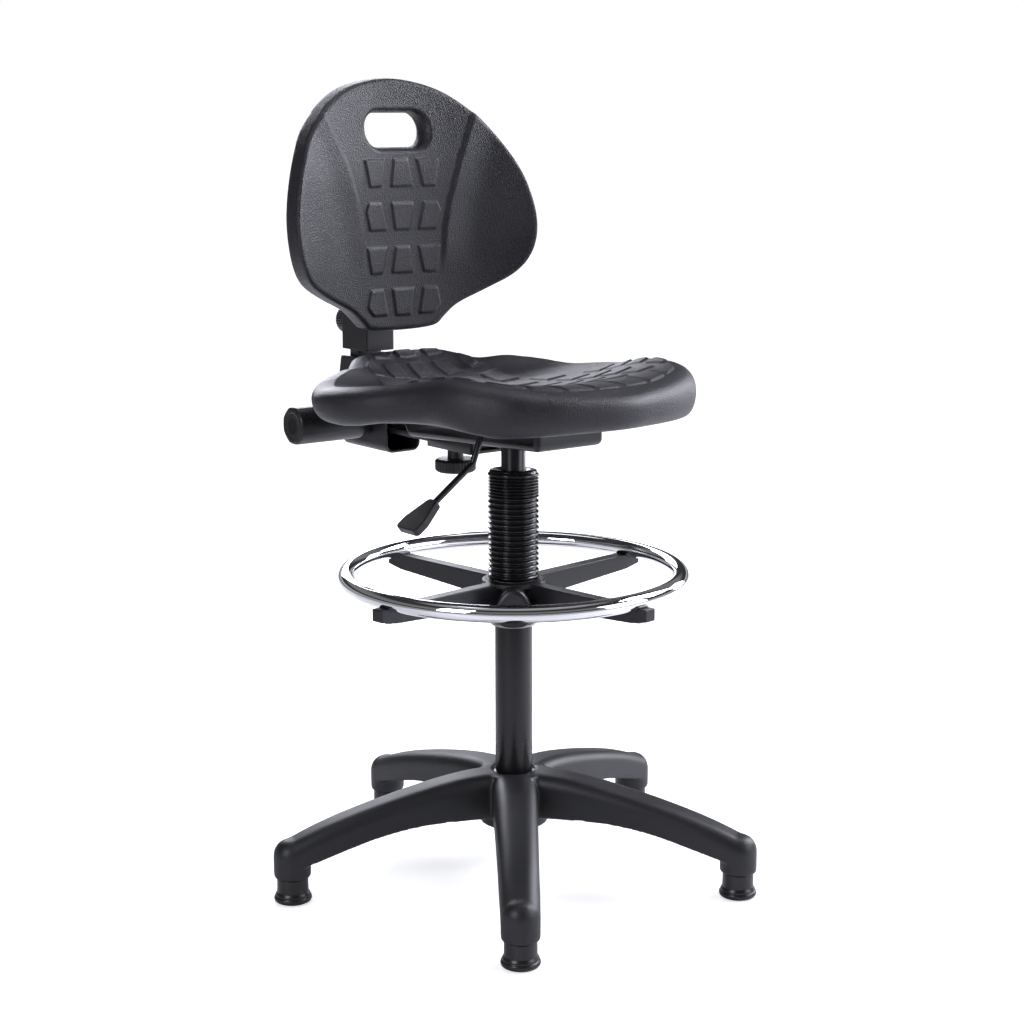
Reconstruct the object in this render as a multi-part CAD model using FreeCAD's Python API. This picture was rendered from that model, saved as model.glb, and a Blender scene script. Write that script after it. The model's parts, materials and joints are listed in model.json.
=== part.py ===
import FreeCAD, Part
import math
import os

from FreeCAD import Vector

# A drafting chair with a moulded seat and backrest on a five-leg base with fixed glides.
# All lengths are in millimetres and all angles in degrees.
# Every function below works about the column: the column's axis is x = 0, y = 0, the floor is
# z = 0, the chair faces -Y and its left side is -X.  save() moves each part to the row frame.

# ---- five-leg base and glides
LEG_COUNT = 5
FIRST_LEG_ANGLE = 90.0
GLIDE_PITCH_R = 309.0
GLIDE_R = 25.0
GLIDE_NECK_R = 20.5
SOCKET_R = 24.5
SOCKET_BOTTOM_Z = 34.0
SOCKET_TOP_Z = 84.5
SOCKET_ROUND = 21.0
STEM_R = 5.5
STEM_Z = (20.0, 66.0)
HUB_R = 46.0
HUB_Z = (74.0, 147.0)
INSERT_R = 27.5
# Leg stations: distance from the column, top height, bottom height, half width.
LEG_STATIONS = [
    (26.0, 148.0, 88.0, 30.0),
    (84.0, 145.0, 90.0, 28.5),
    (127.0, 137.5, 89.5, 27.5),
    (170.0, 128.0, 85.0, 26.5),
    (215.0, 116.5, 75.5, 25.5),
    (260.0, 103.0, 62.0, 25.0),
    (309.0, 84.0, 49.0, 24.5),
]
LEG_SHOULDER_R = 18.0
LEG_WALL = 5.0
LEG_HOLLOW = (64.0, 276.0)
RIB_STATIONS = (110.0, 165.0, 220.0)
RIB = 3.0

# ---- gas column
COLUMN_R = 25.0
COLUMN_BORE_R = 23.25
COLUMN_Z = (62.0, 450.0)
BUSH_Z = (370.0, 453.0)
ROD_R = 5.0
SPIGOT_R = 4.0
ROD_Z = (57.0, 378.0)
ROD_SHOULDER_Z = 72.0
PISTON_Z = (362.0, 374.0)
CYLINDER_R = 16.0
CYLINDER_BORE_R = 13.5
CYLINDER_Z = (150.0, 616.0)
CYLINDER_ROOF_Z = 594.0
GUIDE_HEIGHT = 22.0
VALVE_R = 3.0
VALVE_Z = (588.0, 622.0)
FIT = 0.05
GAP = 0.35

# ---- bellows over the column
BELLOWS_R = 34.0
BELLOWS_BORE_R = 28.0
BELLOWS_Z = (412.5, 560.0)
BELLOWS_CAP = 6.0

# ---- foot ring
RING_R = 221.5
RING_TUBE_R = 11.0
RING_WALL = 1.6
RING_Z = 418.0
SPOKE_COUNT = 4
SPOKE_HALF = 9.0
SPOKE_TOP_Z = 411.0
SPOKE_TIP_R = 241.0
FIRST_SPOKE_ANGLE = 7.6
RING_HUB_R = 31.0
RING_HUB_Z = (353.0, 411.0)
RING_FLANGE_R = 42.0
SLEEVE_R = 27.5
RING_KNOB_ANGLE = FIRST_SPOKE_ANGLE - 135.0
RING_KNOB_Z = 381.0
RING_KNOB_R = 28.0
RING_KNOB_START = 46.0
RING_KNOB_DEPTH = 22.0
STUD_R = 4.0

# ---- seat
SEAT_BASE_Z = 634.0
SEAT_TOP_Z = 694.0
DISH_R = 820.0
DISH_HALF = 320.0
# Floor of the dish along the middle of the seat, as y and z, from the front lip to the rear lip.
DISH_FLOOR = [
    (-260.0, 687.0), (-170.0, 687.0), (-90.0, 674.0), (0.0, 660.0), (100.0, 652.0),
    (180.0, 655.0), (250.0, 678.0), (310.0, 691.0),
]
# Half outline of the seat, from the middle of its rear edge to the middle of its front edge.
SEAT_HALF = [
    (0.0, 288.0), (40.0, 285.0), (68.0, 271.0), (86.0, 247.0), (112.0, 217.0), (150.0, 194.0),
    (205.0, 160.0),
    (235.0, 113.0), (238.0, 62.0), (227.0, 16.0), (208.0, -30.0), (196.0, -72.0), (191.0, -110.0),
    (180.0, -148.0), (152.0, -186.0), (104.0, -212.0), (53.0, -227.0), (0.0, -233.0),
]
# The rear tongue's underside slopes up between these two (y, z) points.
TONGUE_SLOPE = ((200.0, 630.0), (300.0, 660.0))
BOARD_HALF = 130.0
BOARD_Y = (-150.0, 170.0)
BOARD = 12.0

# ---- mechanism under the seat
TRAY_HALF = 55.0
TRAY_Y = (-120.0, 181.0)
TRAY_FRONT_Z = 601.0
TRAY_REAR_Z = 586.0
SOCKET_RING_R = 22.0
SHEET = 2.5
FLANGE_HALF = 94.0
BOLT_X = 80.0
BOLT_Y = (-75.0, 115.0)
BOLT_R = 4.0
ARM_HALF = 20.0
ARM_Z = (576.0, 584.0)
ARM_FRONT_Y = 66.0
CHANNEL_HALF = 28.0
CHANNEL_Y = (58.0, 157.0)
CHANNEL_Z = 572.0
DEPTH_KNOB_Y = 130.0
DEPTH_KNOB_R = 28.0
DEPTH_KNOB_Z = (537.5, 555.5)
DEPTH_NECK_R = 10.8
LEVER_R = 4.2
LEVER_Z = 626.6
LEVER_Y = -21.0
LEVER_PIVOT_X = -40.0
# Lever route outside the housing, as x and z: down beside the wall, then out to the paddle.
LEVER_SHOULDER_X = -62.5
LEVER_DROP = (-81.8, 577.0)
LEVER_END = (-152.0, 526.0)
LEVER_TIP = (10.0, 4.2)
LEVER_PIN_R = 2.5
LEVER_BOSS_R = 6.0
LEVER_EAR = (9.0, 12.0)
LEVER_SLOT_HALF = 7.0
LEVER_SLOT_Z = (619.0, SEAT_BASE_Z)
PADDLE_LENGTH = 55.0
PADDLE_HALF = (9.0, 21.5)
PADDLE_ROUND = 6.0
PADDLE_THICK = 11.0
PADDLE_OVERLAP = 14.0

# ---- back support
HINGE_Y = 309.0
HINGE_Z = 592.0
PIN_R = 6.0
KNUCKLE_HALF = 12.0
KNUCKLE_R = 13.0
EAR = (12.4, 18.0)
POST_HALF = 20.0
POST_Y = (339.0, 359.0)
POST_Z = (632.0, 850.0)
POST_WALL = 2.0
COVER_HALF = 29.0
COVER_WALL = 3.0
COVER_TOP_Z = 677.0
COVER_MOUTH_Y = 256.0
COVER_FOOT_Z = 547.5
COVER_FOOT_ROUND = 12.0
COVER_REAR_Y = 386.0
HANDLE_R = 27.0
HANDLE_X = (-150.0, -31.0)
BLOCK_HALF = 25.0
BLOCK_Y = (311.0, 374.0)
BLOCK_Z = (686.0, 790.0)
PLATE_Y = (283.0, 287.0)
PLATE_Z = (750.0, 878.0)
HEIGHT_KNOB_Z = 725.0
HEIGHT_KNOB_Y = (377.0, 398.0)
HEIGHT_KNOB_R = 21.0

# ---- backrest
BACK_FRONT_Y = 252.0
BACK_THICKNESS = 36.0
BACK_WING_X = 195.0
BACK_SLAB_X = 215.0
# Bend of the backrest: height, how far its middle leans back, how far its wings come forward.
BACK_BEND = [
    (690.0, 0.0, 50.0), (850.0, 0.0, 53.0), (930.0, 1.0, 47.0), (990.0, 8.5, 41.0),
    (1090.0, 29.0, 34.0),
]
# Half outline of the backrest, as x and z, from the middle of its top to the middle of its foot.
BACK_HALF = [
    (0.0, 1062.0), (66.0, 1052.0), (113.0, 1028.0), (151.0, 993.0), (180.0, 945.0),
    (195.0, 900.0), (199.0, 860.0), (191.0, 822.0), (170.0, 793.0), (132.0, 771.5),
    (90.0, 752.0), (69.0, 735.0), (52.0, 723.0), (0.0, 720.0),
]
HAND_HOLE_HALF = 49.0
HAND_HOLE_Z = (972.0, 1018.0)

# The origin is on the floor under the middle of the chair's box.
FRONT_REACH = GLIDE_PITCH_R * math.sin(math.radians(FIRST_LEG_ANGLE + 2 * 72.0 - 180.0)) + GLIDE_R
COLUMN_Y = (FRONT_REACH - HEIGHT_KNOB_Y[1]) / 2.0

AXIS_X = Vector(1, 0, 0)
AXIS_Y = Vector(0, 1, 0)
AXIS_Z = Vector(0, 0, 1)
CENTRE = Vector(0, 0, 0)


def save(node, shape):
    """Move a finished part to the row frame and write its STEP file."""
    placed = shape.copy()
    placed.translate(Vector(0, COLUMN_Y, 0))
    placed.exportStep("parts/" + node + ".step")
    print(node, "solids", len(placed.Solids), "volume", round(placed.Volume), placed.isValid())


def box(x_range, y_range, z_range):
    """A block between three pairs of limits."""
    size = [limits[1] - limits[0] for limits in (x_range, y_range, z_range)]
    return Part.makeBox(size[0], size[1], size[2], Vector(x_range[0], y_range[0], z_range[0]))


def disc(radius, z_range, at=CENTRE):
    """An upright cylinder between two heights."""
    start = Vector(at.x, at.y, z_range[0])
    return Part.makeCylinder(radius, z_range[1] - z_range[0], start, AXIS_Z)


def tube(outer, inner, z_range, at=CENTRE):
    """An upright tube between two heights."""
    return disc(outer, z_range, at).cut(disc(inner, z_range, at))


def bar_x(radius, x_range, y, z):
    """A round bar along X."""
    return Part.makeCylinder(radius, x_range[1] - x_range[0], Vector(x_range[0], y, z), AXIS_X)


def bar_y(radius, y_range, x, z):
    """A round bar along Y."""
    return Part.makeCylinder(radius, y_range[1] - y_range[0], Vector(x, y_range[0], z), AXIS_Y)


def slab_x(points_yz, half):
    """A side profile given as (y, z) points, drawn out to both sides of the middle plane."""
    wire = Part.makePolygon([Vector(-half, y, z) for y, z in points_yz + points_yz[:1]])
    return Part.Face(wire).extrude(Vector(2 * half, 0, 0))


def turned(shape, angle):
    """A copy turned about the column's axis."""
    copy = shape.copy()
    copy.rotate(CENTRE, AXIS_Z, angle)
    return copy


def merge(shapes):
    """One clean solid from shapes that touch or overlap."""
    return shapes[0].multiFuse(shapes[1:]).removeSplitter()


def smooth_face(points):
    """A face inside one smooth closed curve through the points."""
    curve = Part.BSplineCurve()
    curve.interpolate(Points=points, PeriodicFlag=True)
    return Part.Face(Part.Wire(curve.toShape()))


def mirrored_loop(half):
    """A closed loop of pairs from a half outline that starts and ends on the middle line."""
    other = [(-first, second) for first, second in reversed(half[1:-1])]
    return half + other


def leg_angles():
    return [FIRST_LEG_ANGLE + number * 360.0 / LEG_COUNT for number in range(LEG_COUNT)]


def glide_centre(angle):
    turn = math.radians(angle)
    return Vector(GLIDE_PITCH_R * math.cos(turn), GLIDE_PITCH_R * math.sin(turn), 0)


# ------------------------------------------------------------------ base

def profile_curve(points):
    """A smooth curve in the XZ plane through (reach, height) points."""
    curve = Part.BSplineCurve()
    curve.interpolate([Vector(reach, 0, height) for reach, height in points])
    return curve.toShape()


def leg_block(inset, drop):
    """A solid leg along +X, set in from the outer leg; drop lowers its underside."""
    crown = [(reach, top - inset) for reach, top, foot, half in LEG_STATIONS]
    under = [(reach, foot - drop) for reach, top, foot, half in reversed(LEG_STATIONS)]
    ends = [
        Part.makeLine(Vector(crown[-1][0], 0, crown[-1][1]), Vector(under[0][0], 0, under[0][1])),
        Part.makeLine(Vector(under[-1][0], 0, under[-1][1]), Vector(crown[0][0], 0, crown[0][1])),
    ]
    wire = Part.Wire([profile_curve(crown), ends[0], profile_curve(under), ends[1]])
    side = Part.Face(wire).extrude(Vector(0, 2 * HUB_R, 0))
    side.translate(Vector(0, -HUB_R, 0))
    near, near_half = LEG_STATIONS[0][0], LEG_STATIONS[0][3] - inset
    far, far_half = LEG_STATIONS[-1][0], LEG_STATIONS[-1][3] - inset
    corners = [
        Vector(near, -near_half, 0), Vector(far, -far_half, 0),
        Vector(far, far_half, 0), Vector(near, near_half, 0),
    ]
    plan = Part.Face(Part.makePolygon(corners + corners[:1])).extrude(Vector(0, 0, HUB_Z[1] + 10.0))
    leg = side.common(plan)
    shoulders = []
    for edge in leg.Edges:
        bounds = edge.BoundBox
        if bounds.XLength > (far - near) / 2 and bounds.ZMax > HUB_Z[1] - inset - 5.0:
            shoulders.append(edge)
    return leg.makeFillet(LEG_SHOULDER_R - inset, shoulders)


def leg_shell():
    """One arched leg, hollow underneath, with cross ribs in the hollow."""
    hollow = leg_block(LEG_WALL, 12.0)
    hollow = hollow.common(box(LEG_HOLLOW, (-HUB_R, HUB_R), (0, HUB_Z[1])))
    for reach in RIB_STATIONS:
        hollow = hollow.cut(box((reach, reach + RIB), (-HUB_R, HUB_R), (0, HUB_Z[1])))
    return leg_block(0, 0).cut(hollow)


def leg_socket():
    """The rounded end of a leg, which takes the glide's stem."""
    centre = Vector(GLIDE_PITCH_R, 0, 0)
    socket = disc(SOCKET_R, (SOCKET_BOTTOM_Z, SOCKET_TOP_Z), centre)
    top_edges = [edge for edge in socket.Edges if edge.BoundBox.ZMin > SOCKET_TOP_Z - 1.0]
    return socket.makeFillet(SOCKET_ROUND, top_edges)


def base_star():
    """Moulded base: a hub, five arched legs and a socket at the end of each."""
    leg = leg_shell().fuse(leg_socket())
    star = disc(HUB_R, HUB_Z)
    for angle in leg_angles():
        star = star.fuse(turned(leg, angle))
    star = star.cut(disc(INSERT_R, (0, HUB_Z[1] + 10.0)))
    for angle in leg_angles():
        star = star.cut(disc(STEM_R, (SOCKET_BOTTOM_Z, STEM_Z[1]), glide_centre(angle)))
    return star


def base_insert_ring():
    """Steel ring moulded into the hub, which grips the column."""
    return tube(INSERT_R, COLUMN_R, (HUB_Z[0], HUB_Z[1] - 3.0))


def glide(angle):
    """Fixed foot with a flared rim and a neck that meets the leg's socket."""
    profile = [
        (0, 0), (22.0, 0), (24.4, 2.0), (GLIDE_R, 5.0), (24.4, 8.0), (22.0, 10.5),
        (GLIDE_NECK_R, 13.0), (GLIDE_NECK_R, SOCKET_BOTTOM_Z), (0, SOCKET_BOTTOM_Z),
    ]
    wire = Part.makePolygon([Vector(r, 0, z) for r, z in profile + profile[:1]])
    foot = Part.Face(wire).revolve(CENTRE, AXIS_Z, 360)
    foot = foot.cut(disc(STEM_R, (STEM_Z[0], SOCKET_BOTTOM_Z)))
    foot.translate(glide_centre(angle))
    return foot


def glide_stems():
    return Part.makeCompound([disc(STEM_R, STEM_Z, glide_centre(angle)) for angle in leg_angles()])


# ------------------------------------------------------------------ gas column

def column_tube():
    """Outer tube with a closed foot that holds the thrust bearing."""
    shell = tube(COLUMN_R, COLUMN_BORE_R, COLUMN_Z)
    foot = tube(COLUMN_R, SPIGOT_R + FIT, (COLUMN_Z[0], COLUMN_Z[0] + 3.0))
    return merge([shell, foot])


def column_bush():
    """Long plastic guide in the top of the tube, with a lip over its rim."""
    sleeve = tube(COLUMN_BORE_R, CYLINDER_R + FIT, BUSH_Z)
    lip = tube(COLUMN_R, CYLINDER_R + FIT, (COLUMN_Z[1], BUSH_Z[1]))
    return merge([sleeve, lip])


def bearing_lower_race():
    return tube(12.0, SPIGOT_R + FIT, (COLUMN_Z[0] + 3.0, COLUMN_Z[0] + 5.0))


def bearing_balls():
    """Ring of ten balls between the two races."""
    centre_z = COLUMN_Z[0] + 5.0 + 1.45
    return Part.makeCompound([
        turned(Part.makeSphere(1.45, Vector(8.0, 0, centre_z)), number * 36.0)
        for number in range(10)
    ])


def bearing_upper_race():
    return tube(12.0, SPIGOT_R, (COLUMN_Z[0] + 8.0, ROD_SHOULDER_Z))


def piston_rod():
    rod = disc(ROD_R, (ROD_SHOULDER_Z, ROD_Z[1]))
    spigot = disc(SPIGOT_R, (ROD_Z[0], ROD_SHOULDER_Z))
    return merge([rod, spigot])


def rod_clip():
    """Retaining clip on the rod's foot, under the tube."""
    return tube(8.0, SPIGOT_R, (COLUMN_Z[0] - 2.0, COLUMN_Z[0] - 0.5))


def piston():
    return tube(CYLINDER_BORE_R - FIT, ROD_R, PISTON_Z)


def gas_cylinder():
    body = disc(CYLINDER_R, CYLINDER_Z)
    body = body.cut(disc(CYLINDER_BORE_R, (CYLINDER_Z[0], CYLINDER_ROOF_Z)))
    return body.cut(disc(VALVE_R + FIT, (CYLINDER_ROOF_Z, CYLINDER_Z[1])))


def rod_guide():
    """Seal and guide in the cylinder's foot."""
    return tube(CYLINDER_BORE_R, ROD_R + FIT, (CYLINDER_Z[0], CYLINDER_Z[0] + GUIDE_HEIGHT))


def valve_pin():
    return disc(VALVE_R, VALVE_Z)


def bellows():
    """Outer shape of the bellows: a sleeve with a cap that fits round the cylinder."""
    low, high = BELLOWS_Z
    sleeve = tube(BELLOWS_R, BELLOWS_BORE_R, BELLOWS_Z)
    cap = tube(BELLOWS_R, CYLINDER_R + GAP, (high - BELLOWS_CAP, high))
    return merge([sleeve, cap])


# ------------------------------------------------------------------ foot ring

def outward(angle):
    turn = math.radians(angle)
    return Vector(math.cos(turn), math.sin(turn), 0)


def ring_knob_bar(radius, reach):
    """A round bar on the clamp knob's axis between two distances from the column."""
    direction = outward(RING_KNOB_ANGLE)
    start = direction * reach[0] + Vector(0, 0, RING_KNOB_Z)
    return Part.makeCylinder(radius, reach[1] - reach[0], start, direction)


def ring_sleeve():
    """Plastic sleeve between the column and the ring's hub, with a lip under the hub."""
    low, high = RING_HUB_Z
    body = tube(SLEEVE_R, COLUMN_R + FIT, (low - 3.0, high))
    lip = tube(RING_HUB_R - 0.5, COLUMN_R + FIT, (low - 3.0, low - GAP))
    return merge([body, lip])


def spoke():
    """One spoke along +X: deep at the hub, shallow at the tip."""
    profile = [
        (27.0, SPOKE_TOP_Z), (SPOKE_TIP_R, SPOKE_TOP_Z), (SPOKE_TIP_R, 395.0), (216.0, 390.0),
        (160.0, 387.0), (90.0, 383.0), (27.0, 374.0),
    ]
    wire = Part.makePolygon([Vector(r, -SPOKE_HALF, z) for r, z in profile + profile[:1]])
    return Part.Face(wire).extrude(Vector(0, 2 * SPOKE_HALF, 0))


def ring_hub():
    """Moulded hub with four spokes, a top flange and a boss for the clamp knob."""
    pieces = [
        disc(RING_HUB_R, RING_HUB_Z),
        disc(RING_FLANGE_R, (RING_HUB_Z[1] - 6.0, RING_HUB_Z[1])),
        ring_knob_bar(11.0, (20.0, RING_KNOB_START - 1.0)),
    ]
    for number in range(SPOKE_COUNT):
        angle = FIRST_SPOKE_ANGLE + number * 360.0 / SPOKE_COUNT
        pieces.append(turned(spoke(), angle))
    hub = merge(pieces)
    hub = hub.cut(disc(SLEEVE_R + FIT, (340.0, 420.0)))
    hub = hub.cut(ring_knob_bar(STUD_R + FIT, (20.0, RING_KNOB_START)))
    hub = hub.cut(Part.makeTorus(RING_R, RING_TUBE_R, Vector(0, 0, RING_Z)))
    for centre in ring_screw_centres():
        hub = hub.cut(disc(2.5, (380.0, 420.0), centre))
        hub = hub.cut(disc(5.0, (380.0, 393.0), centre))
    return hub


def ring_screw_centres():
    angles = [FIRST_SPOKE_ANGLE + number * 360.0 / SPOKE_COUNT for number in range(SPOKE_COUNT)]
    return [outward(angle) * RING_R for angle in angles]


def foot_ring():
    """Bent steel tube, pierced below for its four screws."""
    ring = Part.makeTorus(RING_R, RING_TUBE_R, Vector(0, 0, RING_Z))
    ring = ring.cut(Part.makeTorus(RING_R, RING_TUBE_R - RING_WALL, Vector(0, 0, RING_Z)))
    for centre in ring_screw_centres():
        ring = ring.cut(disc(2.5, (RING_Z - 15.0, RING_Z), centre))
    return ring


def ring_screws():
    screws = []
    for centre in ring_screw_centres():
        shank = disc(2.5, (393.0, RING_Z - 4.0), centre)
        head = disc(4.8, (390.0, 393.0), centre)
        screws.append(merge([shank, head]))
    return Part.makeCompound(screws)


def lobed_face(radius, lobes, depth):
    """A smooth lobed outline in the YZ plane, one lobe pointing up."""
    points = []
    steps = 12 * lobes
    for number in range(steps):
        turn = 2 * math.pi * number / steps
        reach = radius - depth * (1 - math.cos(lobes * turn)) / 2
        points.append(Vector(0, reach * math.sin(turn), reach * math.cos(turn)))
    return smooth_face(points)


def ring_knob():
    """Three-lobed clamp knob."""
    head = lobed_face(RING_KNOB_R, 3, 4.0).extrude(Vector(RING_KNOB_DEPTH, 0, 0))
    head.translate(Vector(RING_KNOB_START, 0, RING_KNOB_Z))
    head = turned(head, RING_KNOB_ANGLE)
    return head.cut(ring_knob_bar(STUD_R, (RING_KNOB_START - 1.0, RING_KNOB_START + 14.0)))


def ring_knob_stud():
    return ring_knob_bar(STUD_R, (SLEEVE_R + FIT + GAP, RING_KNOB_START + 14.0))


# ------------------------------------------------------------------ seat

def seat_block():
    """Solid seat outline with rounded rims and a shallow dish across its top."""
    outline = [Vector(x, y, SEAT_BASE_Z) for x, y in mirrored_loop(SEAT_HALF)]
    block = smooth_face(outline).extrude(Vector(0, 0, SEAT_TOP_Z - SEAT_BASE_Z))
    top = [edge for edge in block.Edges if edge.BoundBox.ZMin > SEAT_TOP_Z - 1.0]
    foot = [edge for edge in block.Edges if edge.BoundBox.ZMax < SEAT_BASE_Z + 1.0]
    block = block.makeFillet(20.0, top).makeFillet(12.0, foot)
    start, end = TONGUE_SLOPE
    block = block.cut(slab_x([start, end, (end[0], start[1])], BOARD_HALF))
    return block.cut(Part.makeLoft([dish_section(y, floor) for y, floor in DISH_FLOOR], True))


def dish_section(y, floor):
    """Closed outline across the seat: a shallow arc below and straight sides above it."""
    rise = DISH_R - math.sqrt(DISH_R ** 2 - DISH_HALF ** 2)
    left = Vector(-DISH_HALF, y, floor + rise)
    right = Vector(DISH_HALF, y, floor + rise)
    lid = SEAT_TOP_Z + 2 * rise
    over = [right, Vector(DISH_HALF, y, lid), Vector(-DISH_HALF, y, lid), left]
    arc = Part.Arc(left, Vector(0, y, floor), right).toShape()
    return Part.Wire([arc] + Part.makePolygon(over).Edges)


def board_block():
    corners = box((-BOARD_HALF, BOARD_HALF), BOARD_Y, (SEAT_BASE_Z, SEAT_BASE_Z + BOARD))
    upright = [edge for edge in corners.Edges if edge.BoundBox.ZLength > BOARD - 1.0]
    return corners.makeFillet(30.0, upright)


def bolt_centres():
    return [Vector(x, y, 0) for x in (-BOLT_X, BOLT_X) for y in BOLT_Y]


def tee_nut(centre):
    """Flanged nut in the board, its flange on the board's upper face."""
    top = SEAT_BASE_Z + BOARD
    barrel = tube(5.5, BOLT_R, (SEAT_BASE_Z, top), centre)
    flange = tube(10.0, BOLT_R, (top, top + 1.5), centre)
    return merge([barrel, flange])


def tee_nuts():
    return Part.makeCompound([tee_nut(centre) for centre in bolt_centres()])


def seat_pad():
    pad = seat_block().cut(board_block())
    for centre in bolt_centres():
        pad = pad.cut(disc(10.0, (SEAT_BASE_Z, SEAT_BASE_Z + BOARD + 4.0), centre))
    return pad


def seat_board():
    board = board_block()
    for centre in bolt_centres():
        board = board.cut(disc(5.5, (SEAT_BASE_Z, SEAT_BASE_Z + BOARD), centre))
    return board


def seat_bolts():
    """Four bolts up through the housing's flanges into the seat's nuts."""
    head_z = SEAT_BASE_Z - SHEET
    bolts = []
    for centre in bolt_centres():
        shank = disc(BOLT_R, (head_z, SEAT_BASE_Z + BOARD + 2.0), centre)
        head = disc(7.0, (head_z - 5.0, head_z), centre)
        bolts.append(merge([shank, head]))
    return Part.makeCompound(bolts)


# ------------------------------------------------------------------ mechanism

def tray_wedge(inset, top):
    """Side profile of the housing, drawn out to a block with rounded edges."""
    front, rear = TRAY_Y
    front_z = TRAY_FRONT_Z + inset
    rear_z = TRAY_REAR_Z + inset
    profile = [
        (front + inset, front_z), (front + inset, top), (rear - inset, top),
        (rear - inset, rear_z + 20.0), (rear - 16.0, rear_z),
    ]
    block = slab_x(profile, TRAY_HALF - inset)
    rims = [edge for edge in block.Edges if edge.BoundBox.ZMin < top - 1.0]
    return block.makeFillet(8.0 - inset, rims)


def mechanism_housing():
    """Pressed tray, open upwards, with side flanges that carry the seat."""
    flange_z = (SEAT_BASE_Z - SHEET, SEAT_BASE_Z)
    flange = box((-FLANGE_HALF, FLANGE_HALF), (TRAY_Y[0] + 8.0, TRAY_Y[1] - 8.0), flange_z)
    housing = merge([tray_wedge(0, SEAT_BASE_Z), flange])
    housing = housing.cut(tray_wedge(SHEET, SEAT_BASE_Z + 5.0))
    housing = housing.cut(disc(SOCKET_RING_R, (580.0, 612.0)))
    lever_slot = (LEVER_Y - LEVER_SLOT_HALF, LEVER_Y + LEVER_SLOT_HALF)
    housing = housing.cut(box((-FLANGE_HALF, -TRAY_HALF + 2 * SHEET), lever_slot, LEVER_SLOT_Z))
    for centre in bolt_centres():
        housing = housing.cut(disc(BOLT_R, flange_z, centre))
    return housing


def column_socket():
    """Welded socket that seats the top of the gas cylinder."""
    return tube(SOCKET_RING_R, CYLINDER_R, (590.0, 612.0))


def arm_channel():
    """Guide under the housing that the back arm slides in."""
    block = box((-CHANNEL_HALF, CHANNEL_HALF), CHANNEL_Y, (CHANNEL_Z, 600.0))
    block = block.cut(tray_wedge(0, SEAT_BASE_Z))
    slot_z = (ARM_Z[0] - GAP, ARM_Z[1] + GAP)
    block = block.cut(box((-ARM_HALF - GAP, ARM_HALF + GAP), (0, 200.0), slot_z))
    return block.cut(disc(STUD_R + FIT, (560.0, 580.0), Vector(0, DEPTH_KNOB_Y, 0)))


def round_rims(knob, radius):
    """Round both rims of a round knob."""
    rims = [edge for edge in knob.Edges if edge.Closed]
    return knob.makeFillet(radius, rims)


def depth_knob():
    """Hand knob with a thick neck, hanging under the arm channel."""
    at = Vector(0, DEPTH_KNOB_Y, 0)
    low, high = DEPTH_KNOB_Z
    head = round_rims(disc(DEPTH_KNOB_R, DEPTH_KNOB_Z, at), 2.5)
    neck = disc(DEPTH_NECK_R, (high - 3.0, CHANNEL_Z - GAP), at)
    return merge([head, neck]).cut(disc(STUD_R, (low + 4.0, CHANNEL_Z), at))


def depth_screw():
    at = Vector(0, DEPTH_KNOB_Y, 0)
    return disc(STUD_R, (DEPTH_KNOB_Z[0] + 4.0, ARM_Z[0] - 2 * GAP), at)


def lever_bracket():
    """Two ears on the housing's floor, and the pivot pin between them."""
    near, far = LEVER_EAR
    width = (LEVER_PIVOT_X - 7.0, LEVER_PIVOT_X + 7.0)
    block = box(width, (LEVER_Y - far, LEVER_Y + far), (TRAY_REAR_Z, LEVER_Z + 5.0))
    fork = box(width, (LEVER_Y - near, LEVER_Y + near), (LEVER_Z - 22.0, SEAT_BASE_Z))
    inside = tray_wedge(SHEET, SEAT_BASE_Z + 5.0)
    return block.cut(fork).common(inside).cut(lever_pin())


def lever_pin():
    far = LEVER_EAR[1]
    return bar_y(LEVER_PIN_R, (LEVER_Y - far, LEVER_Y + far), LEVER_PIVOT_X, LEVER_Z)


def lever_route():
    """Middle line: over the valve, past the pivot, down outside the housing, out to the paddle."""
    return [
        Vector(LEVER_TIP[0], LEVER_TIP[1], LEVER_Z), Vector(LEVER_PIVOT_X, LEVER_Y, LEVER_Z),
        Vector(LEVER_SHOULDER_X, LEVER_Y, LEVER_Z), Vector(LEVER_DROP[0], LEVER_Y, LEVER_DROP[1]),
        Vector(LEVER_END[0], LEVER_Y, LEVER_END[1]),
    ]


def lever_rod():
    """Bent rod, with a ball at each bend and a boss round its pivot."""
    route = lever_route()
    pieces = []
    for start, end in zip(route, route[1:]):
        run = end - start
        pieces.append(Part.makeCylinder(LEVER_R, run.Length, start, run))
    for bend in route[1:-1]:
        pieces.append(Part.makeSphere(LEVER_R, bend))
    reach = LEVER_EAR[0] - GAP
    boss_y = (LEVER_Y - reach, LEVER_Y + reach)
    pieces.append(bar_y(LEVER_BOSS_R, boss_y, LEVER_PIVOT_X, LEVER_Z))
    bore = bar_y(LEVER_PIN_R + FIT, boss_y, LEVER_PIVOT_X, LEVER_Z)
    return merge(pieces).cut(bore)


def lever_direction():
    """Unit vector along the lever's last run, towards the paddle."""
    route = lever_route()
    return (route[-1] - route[-2]).normalize()


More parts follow.
